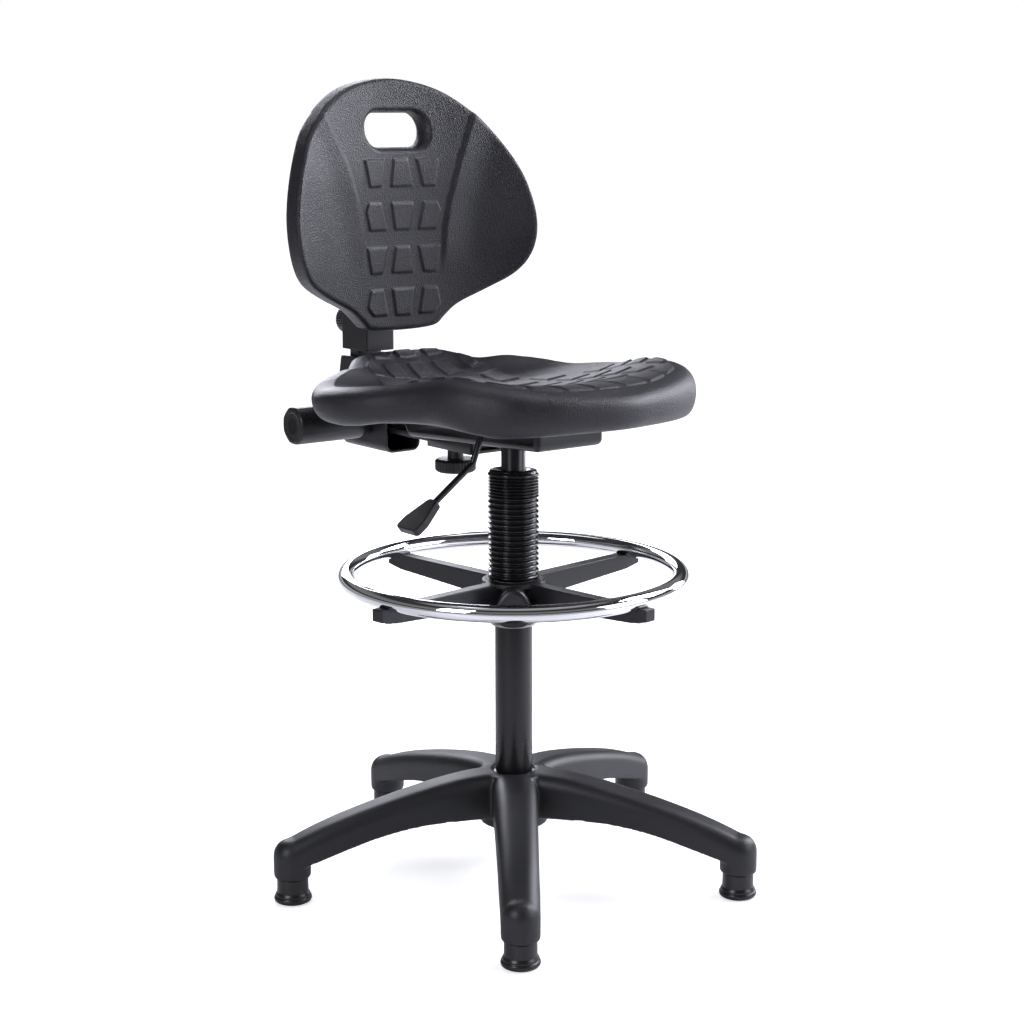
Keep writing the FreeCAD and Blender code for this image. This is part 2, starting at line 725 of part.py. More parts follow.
def lever_paddle():
    """Flat tapered grip on the end of the lever, its face turned up and out."""
    along = lever_direction()
    near = PADDLE_HALF[0]
    far = PADDLE_HALF[1]
    outline = [
        Vector(0, -near, 0), Vector(PADDLE_LENGTH * 0.66, -far, 0), Vector(PADDLE_LENGTH, -far, 0),
        Vector(PADDLE_LENGTH, far, 0), Vector(PADDLE_LENGTH * 0.66, far, 0), Vector(0, near, 0),
    ]
    wire = Part.makePolygon(outline + outline[:1])
    grip = Part.Face(wire).extrude(Vector(0, 0, PADDLE_THICK))
    grip.translate(Vector(-PADDLE_OVERLAP, 0, -PADDLE_THICK / 2))
    upright = [edge for edge in grip.Edges if edge.BoundBox.ZLength > PADDLE_THICK - 0.5]
    grip = grip.makeFillet(PADDLE_ROUND, upright)
    rims = [edge for edge in grip.Edges if edge.BoundBox.ZLength < 0.1]
    grip = grip.makeFillet(1.5, rims)
    grip.rotate(CENTRE, AXIS_Y, -math.degrees(math.atan2(along.z, along.x)))
    grip.translate(lever_route()[-1])
    return grip.cut(lever_rod())


# ------------------------------------------------------------------ back support

def back_arm():
    """Flat bar that slides in the channel, with the hinge knuckle on its end."""
    bar = box((-ARM_HALF, ARM_HALF), (ARM_FRONT_Y, HINGE_Y - 20.0), ARM_Z)
    neck = box((-KNUCKLE_HALF, KNUCKLE_HALF), (HINGE_Y - 40.0, HINGE_Y), (ARM_Z[0], HINGE_Z + 4.0))
    knuckle = bar_x(KNUCKLE_R, (-KNUCKLE_HALF, KNUCKLE_HALF), HINGE_Y, HINGE_Z)
    arm = merge([bar, neck, knuckle])
    return arm.cut(bar_x(PIN_R + FIT, (-30.0, 30.0), HINGE_Y, HINGE_Z))


def post_ear(x_range):
    """One ear of the back post, from the hinge up into the post."""
    outline = [
        (HINGE_Y - 15.0, HINGE_Z), (HINGE_Y - 10.0, HINGE_Z + 14.0),
        (POST_Y[0] + POST_WALL, POST_Z[0] + 22.0), (POST_Y[1] - POST_WALL, POST_Z[0] + 40.0),
        (POST_Y[1] - POST_WALL, POST_Z[0] + 6.0), (HINGE_Y + 14.0, HINGE_Z - 6.0),
        (HINGE_Y + 6.0, HINGE_Z - 14.0), (HINGE_Y - 6.0, HINGE_Z - 14.0),
    ]
    wire = Part.makePolygon([Vector(x_range[0], y, z) for y, z in outline + outline[:1]])
    return Part.Face(wire).extrude(Vector(x_range[1] - x_range[0], 0, 0))


def back_post():
    """Rectangular tube with two welded ears that straddle the arm's knuckle."""
    shell = box((-POST_HALF, POST_HALF), POST_Y, POST_Z)
    hollow = box((-POST_HALF + POST_WALL, POST_HALF - POST_WALL),
                 (POST_Y[0] + POST_WALL, POST_Y[1] - POST_WALL), POST_Z)
    left = post_ear((-EAR[1], -EAR[0]))
    right = post_ear(EAR)
    post = merge([shell.cut(hollow), left, right])
    return post.cut(bar_x(PIN_R, (-30.0, 30.0), HINGE_Y, HINGE_Z))


def post_cap():
    """Plastic plug in the top of the post."""
    plug = box((-POST_HALF + POST_WALL, POST_HALF - POST_WALL),
               (POST_Y[0] + POST_WALL, POST_Y[1] - POST_WALL), (POST_Z[1] - 12.0, POST_Z[1]))
    lid = box((-POST_HALF, POST_HALF), POST_Y, (POST_Z[1], POST_Z[1] + 3.0))
    return merge([plug, lid])


def hinge_bolt():
    """Bolt through the hinge; its head is on the right and the handle turns on its left end."""
    shank = bar_x(PIN_R, (HANDLE_X[1] - 30.0, COVER_HALF), HINGE_Y, HINGE_Z)
    head = bar_x(11.0, (COVER_HALF, COVER_HALF + 6.0), HINGE_Y, HINGE_Z)
    return merge([shank, head])


def cover_block(inset):
    """Side profile of the hinge cover, drawn out to both sides."""
    rear = COVER_REAR_Y - inset
    foot = COVER_FOOT_Z + inset
    mouth = COVER_MOUTH_Y - 4 * inset
    top = COVER_TOP_Z - inset
    profile = [
        (mouth, 612.0 - inset), (mouth, foot), (370.0 - inset, foot), (rear, 566.0), (rear, 612.0),
        (372.0 - inset, top), (330.0 + inset, top), (322.0 + inset, 648.0), (290.0, 622.0 - inset),
    ]
    block = slab_x(profile, COVER_HALF - inset)
    low_edges = []
    for edge in block.Edges:
        bounds = edge.BoundBox
        if bounds.XLength < 0.1 and bounds.YLength > 10.0 and bounds.ZMax < 570.0:
            low_edges.append(edge)
    return block.makeFillet(COVER_FOOT_ROUND - inset, low_edges)


def hinge_cover():
    """Plastic shell round the hinge, open towards the seat and where the post leaves it."""
    shell = cover_block(0)
    shell = shell.makeFillet(4.0, [edge for edge in shell.Edges if not mouth_edge(edge)])
    shell = shell.cut(cover_block(COVER_WALL))
    shell = shell.cut(box((-POST_HALF - GAP, POST_HALF + GAP), (POST_Y[0] - GAP, POST_Y[1] + GAP),
                          (640.0, COVER_TOP_Z + 5.0)))
    return shell.cut(bar_x(PIN_R, (-40.0, 40.0), HINGE_Y, HINGE_Z))


def mouth_edge(edge):
    """True for the edges round the cover's open mouth."""
    return edge.BoundBox.YMax < COVER_MOUTH_Y + 14.0


def tilt_handle():
    """Large round hand grip on the hinge's axis, at the chair's left."""
    grip = round_rims(bar_x(HANDLE_R, HANDLE_X, HINGE_Y, HINGE_Z), 2.0)
    return grip.cut(bar_x(10.0, (HANDLE_X[1] - 32.0, HANDLE_X[1] + 1.0), HINGE_Y, HINGE_Z))


def handle_nut():
    """Brass insert that the hinge bolt screws into."""
    body = bar_x(10.0, (HANDLE_X[1] - 32.0, HANDLE_X[1] - 2.0), HINGE_Y, HINGE_Z)
    return body.cut(bar_x(PIN_R + FIT, (HANDLE_X[1] - 40.0, HANDLE_X[1]), HINGE_Y, HINGE_Z))


def back_block():
    """Moulded carriage that slides on the post and carries the backrest's plate."""
    body = box((-BLOCK_HALF, BLOCK_HALF), BLOCK_Y, BLOCK_Z)
    upright = [edge for edge in body.Edges if edge.BoundBox.ZLength > 50.0]
    body = body.makeFillet(4.0, upright)
    nose = box((-BLOCK_HALF, BLOCK_HALF), (PLATE_Y[1], BLOCK_Y[0] + 8.0), (PLATE_Z[0], BLOCK_Z[1]))
    body = merge([body, nose])
    slot = box((-POST_HALF - GAP, POST_HALF + GAP), (POST_Y[0] - GAP, POST_Y[1] + GAP),
               (BLOCK_Z[0] - 5.0, BLOCK_Z[1] + 5.0))
    body = body.cut(slot)
    return body.cut(bar_y(STUD_R + FIT, (POST_Y[1], BLOCK_Y[1] + 1.0), 0, HEIGHT_KNOB_Z))


def height_knob():
    """Round knob behind the carriage."""
    head = round_rims(bar_y(HEIGHT_KNOB_R, HEIGHT_KNOB_Y, 0, HEIGHT_KNOB_Z), 2.5)
    neck = bar_y(10.0, (BLOCK_Y[1] + GAP, HEIGHT_KNOB_Y[0] + 2.0), 0, HEIGHT_KNOB_Z)
    knob = merge([head, neck])
    return knob.cut(bar_y(STUD_R, (BLOCK_Y[1], HEIGHT_KNOB_Y[1] - 5.0), 0, HEIGHT_KNOB_Z))


def height_screw():
    reach = (POST_Y[1] + 2 * GAP, HEIGHT_KNOB_Y[1] - 5.0)
    return bar_y(STUD_R, reach, 0, HEIGHT_KNOB_Z)


def back_screw_places():
    return [(x, z) for x in (-40.0, 40.0) for z in (768.0, 860.0)]


def back_plate():
    """Steel plate screwed to the backrest's core and bolted to the carriage."""
    plate = box((-55.0, 55.0), PLATE_Y, PLATE_Z)
    corners = [edge for edge in plate.Edges if edge.BoundBox.YLength > 3.0]
    plate = plate.makeFillet(10.0, corners)
    for x, z in back_screw_places():
        plate = plate.cut(bar_y(3.0, (PLATE_Y[0] - 1.0, PLATE_Y[1] + 1.0), x, z))
    return plate


def back_screws():
    screws = []
    for x, z in back_screw_places():
        shank = bar_y(3.0, (PLATE_Y[0] - 7.0, PLATE_Y[1]), x, z)
        head = bar_y(5.5, (PLATE_Y[1], PLATE_Y[1] + 3.0), x, z)
        screws.append(merge([shank, head]))
    return Part.makeCompound(screws)


def core_block():
    return box((-70.0, 70.0), (PLATE_Y[0] - 8.0, PLATE_Y[0]), (740.0, 905.0))


def back_core():
    """Stiff board in the back of the backrest, which takes the plate's screws."""
    core = core_block()
    for x, z in back_screw_places():
        core = core.cut(bar_y(3.0, (PLATE_Y[0] - 7.0, PLATE_Y[0] + 1.0), x, z))
    return core


def bend_section(height, lean, wing):
    """Level section of the bent slab: two arcs side by side, closed at their ends."""
    radius = (BACK_WING_X ** 2 + wing ** 2) / (2 * wing)
    drop = radius - math.sqrt(radius ** 2 - BACK_SLAB_X ** 2)
    arcs = []
    rims = []
    for front in (BACK_FRONT_Y + lean, BACK_FRONT_Y + lean + BACK_THICKNESS):
        left = Vector(-BACK_SLAB_X, front - drop, height)
        right = Vector(BACK_SLAB_X, front - drop, height)
        arcs.append(Part.Arc(left, Vector(0, front, height), right).toShape())
        rims.append((left, right))
    left_side = Part.makeLine(rims[0][0], rims[1][0])
    right_side = Part.makeLine(rims[0][1], rims[1][1])
    return Part.Wire([arcs[0], right_side, arcs[1], left_side])


def back_pad():
    """Moulded backrest: a bent slab, its wings forward and its top back, with a hand hole."""
    outline = [Vector(x, 140.0, z) for x, z in mirrored_loop(BACK_HALF)]
    block = smooth_face(outline).extrude(Vector(0, 220.0, 0))
    pad = block.common(Part.makeLoft([bend_section(*row) for row in BACK_BEND], True))
    pad = pad.makeFillet(9.0, pad.Edges)
    pad = pad.cut(hand_hole())
    recess = box((-70.0, 70.0), (PLATE_Y[0], 300.0), (740.0, 905.0))
    return pad.cut(recess).cut(core_block())


def hand_hole():
    low, high = HAND_HOLE_Z
    opening = box((-HAND_HOLE_HALF, HAND_HOLE_HALF), (200.0, 320.0), HAND_HOLE_Z)
    corners = [edge for edge in opening.Edges if edge.BoundBox.YLength > 100.0]
    return opening.makeFillet((high - low) / 2 - 3.0, corners)


def main():
    """Write one STEP file for each sub-part."""
    os.makedirs("parts", exist_ok=True)
    save("base_star", base_star())
    save("base_insert_ring", base_insert_ring())
    for number, angle in enumerate(leg_angles(), start=1):
        save("glide_" + str(number), glide(angle))
    makers = [
        glide_stems, column_tube, column_bush, bearing_lower_race, bearing_balls,
        bearing_upper_race, piston_rod, rod_clip, piston, gas_cylinder, rod_guide, valve_pin,
        bellows, ring_sleeve, ring_hub, foot_ring, ring_screws, ring_knob, ring_knob_stud,
        seat_pad, seat_board, tee_nuts, seat_bolts, mechanism_housing, column_socket,
        arm_channel, depth_knob, depth_screw, lever_bracket, lever_pin, lever_rod,
        lever_paddle, back_arm, back_post, post_cap, hinge_bolt, hinge_cover, tilt_handle,
        handle_nut, back_block, height_knob, height_screw, back_plate, back_screws, back_core,
        back_pad,
    ]
    for make in makers:
        save(make.__name__, make())


main()
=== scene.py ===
"""Visual model of the drafting chair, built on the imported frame. Lengths here are in millimetres until mesh() turns them into metres."""
import json
import math
import bpy
import numpy as np
from mathutils import Matrix, Vector


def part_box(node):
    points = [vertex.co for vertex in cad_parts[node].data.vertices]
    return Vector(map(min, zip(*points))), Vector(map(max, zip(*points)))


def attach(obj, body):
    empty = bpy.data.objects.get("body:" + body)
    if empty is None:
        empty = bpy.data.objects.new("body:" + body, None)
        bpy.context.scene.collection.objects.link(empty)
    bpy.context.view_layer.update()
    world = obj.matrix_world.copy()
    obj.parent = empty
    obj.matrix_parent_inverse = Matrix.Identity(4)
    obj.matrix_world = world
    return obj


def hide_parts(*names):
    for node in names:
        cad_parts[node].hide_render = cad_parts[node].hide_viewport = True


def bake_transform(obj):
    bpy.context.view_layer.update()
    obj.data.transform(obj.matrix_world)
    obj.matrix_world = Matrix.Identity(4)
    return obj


MM = 0.001
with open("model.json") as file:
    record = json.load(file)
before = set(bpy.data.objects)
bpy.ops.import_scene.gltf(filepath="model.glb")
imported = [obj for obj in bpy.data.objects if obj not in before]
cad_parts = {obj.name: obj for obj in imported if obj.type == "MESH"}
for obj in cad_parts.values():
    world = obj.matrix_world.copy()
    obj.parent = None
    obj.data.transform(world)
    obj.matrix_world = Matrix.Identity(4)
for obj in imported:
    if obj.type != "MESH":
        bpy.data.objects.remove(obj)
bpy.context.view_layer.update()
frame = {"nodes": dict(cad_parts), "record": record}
nodes = frame["nodes"]


def node_mm(name):
    """Lowest and highest corner of a CAD node, in mm from the column's axis."""
    low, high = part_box(name)
    shift = Vector((0, COLUMN_Y, 0))
    return (low - shift) / MM, (high - shift) / MM


_low, _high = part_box("column_tube")
COLUMN_Y = (_low.y + _high.y) / 2


# ---------------------------------------------------------------- materials

def shader(slot, colour, rough, metal=0.0, vary=0.25, patch=14.0, grain=None, coat=0.0, spread=0.08, sheen=0.0, stretch=None):
    """A node material: colour and roughness vary over patches, grain is a list of (kind, cells per metre, depth in mm)."""
    material = bpy.data.materials.new(slot)
    material.use_nodes = True
    tree = material.node_tree
    links = tree.links
    principled = tree.nodes["Principled BSDF"]
    coords = tree.nodes.new("ShaderNodeTexCoord")
    source = coords.outputs["Object"]
    if stretch:
        mapping = tree.nodes.new("ShaderNodeMapping")
        mapping.inputs["Scale"].default_value = stretch
        links.new(source, mapping.inputs["Vector"])
        fine_source = mapping.outputs["Vector"]
    else:
        fine_source = source
    patches = tree.nodes.new("ShaderNodeTexNoise")
    patches.inputs["Scale"].default_value = patch
    patches.inputs["Detail"].default_value = 5.0
    links.new(source, patches.inputs["Vector"])
    fine = tree.nodes.new("ShaderNodeTexNoise")
    fine.inputs["Scale"].default_value = 420.0
    fine.inputs["Detail"].default_value = 3.0
    links.new(fine_source, fine.inputs["Vector"])
    blend = tree.nodes.new("ShaderNodeMath")
    blend.operation = "MULTIPLY_ADD"
    blend.inputs[1].default_value = 0.35
    links.new(fine.outputs["Fac"], blend.inputs[0])
    links.new(patches.outputs["Fac"], blend.inputs[2])
    ramp = tree.nodes.new("ShaderNodeValToRGB")
    ramp.color_ramp.elements[0].position = 0.40
    ramp.color_ramp.elements[1].position = 0.95
    ramp.color_ramp.elements[0].color = [c * (1 - vary) for c in colour] + [1]
    ramp.color_ramp.elements[1].color = [min(1.0, c * (1 + vary)) for c in colour] + [1]
    links.new(blend.outputs[0], ramp.inputs["Fac"])
    links.new(ramp.outputs["Color"], principled.inputs["Base Color"])
    spread_node = tree.nodes.new("ShaderNodeMapRange")
    spread_node.inputs["From Min"].default_value = 0.35
    spread_node.inputs["From Max"].default_value = 1.0
    spread_node.inputs["To Min"].default_value = max(0.02, rough - spread)
    spread_node.inputs["To Max"].default_value = min(1.0, rough + spread)
    links.new(blend.outputs[0], spread_node.inputs["Value"])
    links.new(spread_node.outputs["Result"], principled.inputs["Roughness"])
    principled.inputs["Metallic"].default_value = metal
    principled.inputs["Coat Weight"].default_value = coat
    principled.inputs["Coat Roughness"].default_value = 0.12
    if sheen:
        principled.inputs["Sheen Weight"].default_value = sheen
        principled.inputs["Sheen Roughness"].default_value = 0.5
    normal = None
    for kind, cells, depth in grain or [("noise", 900.0, 0.02)]:
        if kind == "cells":
            texture = tree.nodes.new("ShaderNodeTexVoronoi")
            texture.feature = "SMOOTH_F1"
            texture.inputs["Smoothness"].default_value = 0.45
            height = texture.outputs["Distance"]
        else:
            texture = tree.nodes.new("ShaderNodeTexNoise")
            texture.inputs["Detail"].default_value = 4.0
            height = texture.outputs["Fac"]
        texture.inputs["Scale"].default_value = cells
        links.new(fine_source, texture.inputs["Vector"])
        bump = tree.nodes.new("ShaderNodeBump")
        bump.inputs["Strength"].default_value = 1.0
        bump.inputs["Distance"].default_value = depth * MM
        links.new(height, bump.inputs["Height"])
        if normal is not None:
            links.new(normal, bump.inputs["Normal"])
        normal = bump.outputs["Normal"]
    links.new(normal, principled.inputs["Normal"])
    return material


LEATHER = [("cells", 600.0, 0.55), ("noise", 1700.0, 0.12), ("noise", 160.0, 0.02)]
SPARK = [("noise", 1300.0, 0.10), ("noise", 420.0, 0.05)]
SATIN = [("noise", 1500.0, 0.035)]
MATERIALS = {
    "moulded_pu": shader("moulded_pu", (0.0110, 0.0108, 0.0145), 0.41, vary=0.12, grain=LEATHER, spread=0.05),
    "base_nylon": shader("base_nylon", (0.0095, 0.0095, 0.0115), 0.46, vary=0.12, grain=SPARK, spread=0.05),
    "glide_nylon": shader("glide_nylon", (0.0080, 0.0080, 0.0092), 0.32, vary=0.12, grain=SATIN),
    "hub_nylon": shader("hub_nylon", (0.0085, 0.0085, 0.0100), 0.36, vary=0.12, grain=SPARK),
    "cover_plastic": shader("cover_plastic", (0.0110, 0.0110, 0.0130), 0.38, vary=0.12, grain=SPARK),
    "grip_plastic": shader("grip_plastic", (0.0085, 0.0085, 0.0095), 0.36, vary=0.15, grain=SPARK),
    "handle_plastic": shader("handle_plastic", (0.0100, 0.0100, 0.0112), 0.30, vary=0.12, grain=SATIN),
    "guide_plastic": shader("guide_plastic", (0.42, 0.42, 0.39), 0.38, vary=0.08, grain=SATIN),
    "bellows_plastic": shader("bellows_plastic", (0.0050, 0.0050, 0.0058), 0.20, vary=0.15, grain=SATIN, spread=0.05),
    "black_paint": shader("black_paint", (0.0050, 0.0050, 0.0062), 0.30, vary=0.15, grain=[("noise", 700.0, 0.02)]),
    "pressed_black": shader("pressed_black", (0.0050, 0.0050, 0.0060), 0.40, vary=0.15, grain=[("noise", 800.0, 0.04)], coat=0.2),
    "bare_steel": shader("bare_steel", (0.48, 0.48, 0.50), 0.34, metal=1.0, vary=0.12, grain=[("noise", 900.0, 0.02)], stretch=(1, 1, 0.15)),
    "polished_rod": shader("polished_rod", (0.62, 0.62, 0.64), 0.14, metal=1.0, vary=0.06, grain=[("noise", 900.0, 0.004)], spread=0.04),
    "ring_chrome": shader("ring_chrome", (0.86, 0.86, 0.88), 0.05, metal=1.0, vary=0.04, grain=[("noise", 60.0, 0.02)], spread=0.02),
    "plywood": shader("plywood", (0.030, 0.028, 0.027), 0.58, vary=0.25, grain=[("noise", 300.0, 0.15)], stretch=(0.2, 2.5, 2.5)),
    "brass_insert": shader("brass_insert", (0.72, 0.53, 0.25), 0.28, metal=1.0, vary=0.10, grain=[("noise", 900.0, 0.02)]),
}
slot_of = {part["node"]: part["material_slot"] for part in frame["record"]["subparts"]}
body_of = {}
for body_name, members in frame["record"]["behaviour"]["bodies"].items():
    for member in members:
        body_of[member] = body_name
for name, node in nodes.items():
    node.data.materials.clear()
    node.data.materials.append(MATERIALS[slot_of[name]])


# ---------------------------------------------------------------- mesh helpers

def mesh(name, points, faces, smooth=True):
    """A mesh from points in mm from the column's axis."""
    data = bpy.data.meshes.new(name)
    placed = np.asarray(points, float) * MM + np.array([0.0, COLUMN_Y, 0.0])
    data.from_pydata(placed.tolist(), [], faces)
    data.validate()
    data.update()
    data.shade_smooth() if smooth else data.shade_flat()
    thing = bpy.data.objects.new(name, data)
    bpy.context.scene.collection.objects.link(thing)
    return thing


def strips(rings, ends=(None, None), closed=False):
    """Points and quads through rings of equal length; each ring closes on itself. ends are "flat", or None for an open end."""
    count = len(rings[0])
    points = np.concatenate(rings)
    faces = []
    pairs = list(zip(range(len(rings) - 1), range(1, len(rings))))
    if closed:
        pairs.append((len(rings) - 1, 0))
    for a, b in pairs:
        for i in range(count):
            j = (i + 1) % count
            faces.append((a * count + i, a * count + j, b * count + j, b * count + i))
    if ends[0] == "flat":
        points = np.vstack([points, np.mean(rings[0], axis=0)])
        tip = len(points) - 1
        faces += [(tip, (i + 1) % count, i) for i in range(count)]
    if ends[1] == "flat":
        points = np.vstack([points, np.mean(rings[-1], axis=0)])
        tip = len(points) - 1
        last = (len(rings) - 1) * count
        faces += [(tip, last + i, last + (i + 1) % count) for i in range(count)]
    return points, faces


def axis_frame(at, direction):
    """Matrix whose Z runs along direction from at, in mm."""
    z = Vector(direction).normalized()
    return Matrix.Translation(Vector(at)) @ z.to_track_quat("Z", "Y").to_matrix().to_4x4()


def lathe(name, profile, at=(0, 0, 0), direction=(0, 0, 1), count=128, shape=None, ends=("flat", "flat")):
    """Turned piece: profile is (radius, height) pairs; shape(angle, radius, height) gives the real radius."""
    turns = np.linspace(0, 2 * math.pi, count, endpoint=False)
    matrix = np.array(axis_frame(at, direction))
    rings = []
    for radius, height in profile:
        reach = np.full(count, float(radius)) if shape is None else shape(turns, radius, height)
        ring = np.c_[reach * np.cos(turns), reach * np.sin(turns), np.full(count, float(height)), np.ones(count)]
        rings.append((ring @ matrix.T)[:, :3])
    points, faces = strips(rings, ends)
    return mesh(name, points, faces)


def eased(corners, radius=1.2, steps=4):
    """A profile whose inner corners are rounded."""
    out = [corners[0]]
    for before, here, after in zip(corners, corners[1:], corners[2:]):
        b, h, a = (np.array(p, float) for p in (before, here, after))
        into, away = b - h, a - h
        reach = min(radius, np.linalg.norm(into) * 0.45, np.linalg.norm(away) * 0.45)
        start = h + into / np.linalg.norm(into) * reach
        stop = h + away / np.linalg.norm(away) * reach
        for k in range(steps + 1):
            t = k / steps
            out.append(tuple((1 - t) ** 2 * start + 2 * t * (1 - t) * h + t * t * stop))
    out.append(corners[-1])
    return out


def soft_step(value):
    value = np.clip(value, 0, 1)
    return value * value * (3 - 2 * value)


def closed_curve(knots, count):
    """Periodic Catmull-Rom curve through the knots, at even spacing along it."""
    knots = np.array(knots, float)
    dense = []
    for p0, p1, p2, p3 in zip(np.roll(knots, 1, 0), knots, np.roll(knots, -1, 0), np.roll(knots, -2, 0)):
        t = np.linspace(0, 1, 60, endpoint=False)[:, None]
        dense.append(0.5 * (2 * p1 + (p2 - p0) * t + (2 * p0 - 5 * p1 + 4 * p2 - p3) * t ** 2 + (3 * p1 - p0 - 3 * p2 + p3) * t ** 3))
    dense = np.concatenate(dense)
    for _ in range(120):
        dense = dense * 0.5 + (np.roll(dense, 1, 0) + np.roll(dense, -1, 0)) * 0.25
    lengths = np.linalg.norm(np.roll(dense, -1, 0) - dense, axis=1)
    along = np.r_[0, np.cumsum(lengths)]
    wanted = np.linspace(0, along[-1], count, endpoint=False)
    loop = np.vstack([dense, dense[:1]])
    return np.c_[np.interp(wanted, along, loop[:, 0]), np.interp(wanted, along, loop[:, 1])]


def outward(curve):
    """Unit normals of a closed plane curve, away from its middle."""
    along = np.roll(curve, -3, 0) - np.roll(curve, 3, 0)
    normal = np.c_[along[:, 1], -along[:, 0]]
    normal /= np.linalg.norm(normal, axis=1)[:, None]
    if np.sum(normal * (curve - curve.mean(0))) < 0:
        normal = -normal
    return normal


def full_loop(half):
    return list(half) + [(-a, b) for a, b in half[-2:0:-1]]


def dress(thing, *names, body=None, slot=None):
    """Give a piece the material, body and slot of the CAD nodes it stands for."""
    slot = slot or slot_of[names[0]]
    body = body or body_of[names[0]]
    thing.data.materials.clear()
    thing.data.materials.append(MATERIALS[slot])
    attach(thing, body)
    if names:
        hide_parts(*names)
    return thing


def copied(node_name, name):
    """A copy of a CAD node's mesh."""
    data = nodes[node_name].data.copy()
    data.name = name
    thing = bpy.data.objects.new(name, data)
    bpy.context.scene.collection.objects.link(thing)
    return thing


def settle(thing):
    """Turn a piece's modifiers into its mesh."""
    depsgraph = bpy.context.evaluated_depsgraph_get()
    data = bpy.data.meshes.new_from_object(thing.evaluated_get(depsgraph))
    thing.modifiers.clear()
    old = thing.data
    thing.data = data
    data.name = old.name
    return thing


def rounded(node_name, width=0.6, segments=2, angle=32.0):
    """A CAD node's shape with its sharp edges rounded, as a sheet-metal or machined piece."""
    thing = copied(node_name, node_name + "_look")
    weld = thing.modifiers.new("weld", "WELD")
    weld.merge_threshold = 0.00002
    bevel = thing.modifiers.new("bevel", "BEVEL")
    bevel.width = width * MM
    bevel.segments = segments
    bevel.limit_method = "ANGLE"
    bevel.angle_limit = math.radians(angle)
    bevel.harden_normals = False
    bevel.use_clamp_overlap = True
    settle(thing)
    thing.data.shade_smooth()
    thing.data.set_sharp_from_angle(angle=math.radians(50.0))
    return dress(thing, node_name)


def moulded(node_name, cell=1.0, passes=6):
    """A CAD node's shape with the soft corners and blends of a moulding."""
    thing = copied(node_name, node_name + "_look")
    remesh = thing.modifiers.new("remesh", "REMESH")
    remesh.mode = "VOXEL"
    remesh.voxel_size = cell * MM
    smooth = thing.modifiers.new("smooth", "SMOOTH")
    smooth.factor = 0.5
    smooth.iterations = passes
    settle(thing)
    thing.data.shade_smooth()
    return dress(thing, node_name)


# ---------------------------------------------------------------- raised pads

def pad_relief(u, v, shape, height, wall):
    """Height of one raised pad at points u, v: shape is its corners in order, round the pad."""
    distance = np.full(u.shape, 1e9)
    corners = list(shape)
    area = sum(a[0] * b[1] - b[0] * a[1] for a, b in zip(corners, corners[1:] + corners[:1]))
    if area < 0:
        corners.reverse()
    for a, b in zip(corners, corners[1:] + corners[:1]):
        run = np.array(b, float) - np.array(a, float)
        run /= np.linalg.norm(run)
        inside = (u - a[0]) * -run[1] + (v - a[1]) * run[0]
        distance = np.where(distance > 1e8, inside, smooth_min(distance, inside, 2.0))
    return height * soft_step(distance / wall)


def smooth_min(a, b, k):
    h = np.clip(0.5 + 0.5 * (b - a) / k, 0, 1)
    return b * (1 - h) + a * h - k * h * (1 - h)


# ---------------------------------------------------------------- seat

SEAT_HALF = [
    (0, 289), (41, 286), (73, 273), (95, 249), (119, 224), (154, 202), (203, 166), (234, 114), (239, 63),
    (228, 16), (208, -30), (196, -71), (192, -110), (181, -147), (152, -185), (104, -210), (53, -226), (0, -235),
]
SEAT_CENTRE = [(-235, 677), (-200, 686), (-172, 689), (-130, 684), (-90, 675), (-50, 667), (0, 660),
               (50, 656), (100, 653), (140, 652.5), (180, 656), (215, 669), (240, 685), (258, 693), (292, 696)]
SEAT_SIDE = [(-240, 676), (-200, 688), (-160, 700), (-120, 705), (-80, 704), (-40, 697), (0, 689), (40, 683),
             (80, 678), (120, 673), (142, 675), (158, 683), (178, 702), (210, 707), (240, 697), (292, 694)]
SEAT_FOOT = [(-240, 638), (-205, 636), (-175, 635), (-150, 638), (-110, 640.5), (-60, 641), (-20, 638.5), (10, 636),
             (40, 634.6), (120, 634.6), (170, 640), (213, 644), (262, 653), (290, 660)]
# How much of the rim's drop each part of the seat has.
SEAT_DROP = [(-240, 0.15), (-205, 0.4), (-175, 0.5), (-150, 0.25), (-110, 0), (0, 0), (30, 0.6), (60, 1), (140, 1),
             (190, 0.6), (290, 0.2)]
# Profile of the rim: how far inside the outline, how far under the foot, share of the height.
SEAT_RIM = [(-46, 0.0, 0.0), (-34, 2.5, 0.0), (-24, 5.0, 0.005), (-16, 6.2, 0.02), (-9, 5.4, 0.07), (-4, 3.0, 0.16),
            (-1.2, 0.8, 0.28), (0, 0, 0.44), (0, 0, 0.57), (-1.2, 0, 0.70), (-4.5, 0, 0.81), (-10, 0, 0.90),
            (-18, 0, 0.96), (-30, 0, 1.0)]


def along_y(table, y):
    return np.interp(y, [p[0] for p in table], [p[1] for p in table])


def smooth_table(table, y):
    """The table's values at y, rounded off over 30 mm."""
    return sum(along_y(table, y + d) * w for d, w in ((-24, 1), (-12, 2), (0, 3), (12, 2), (24, 1))) / 9


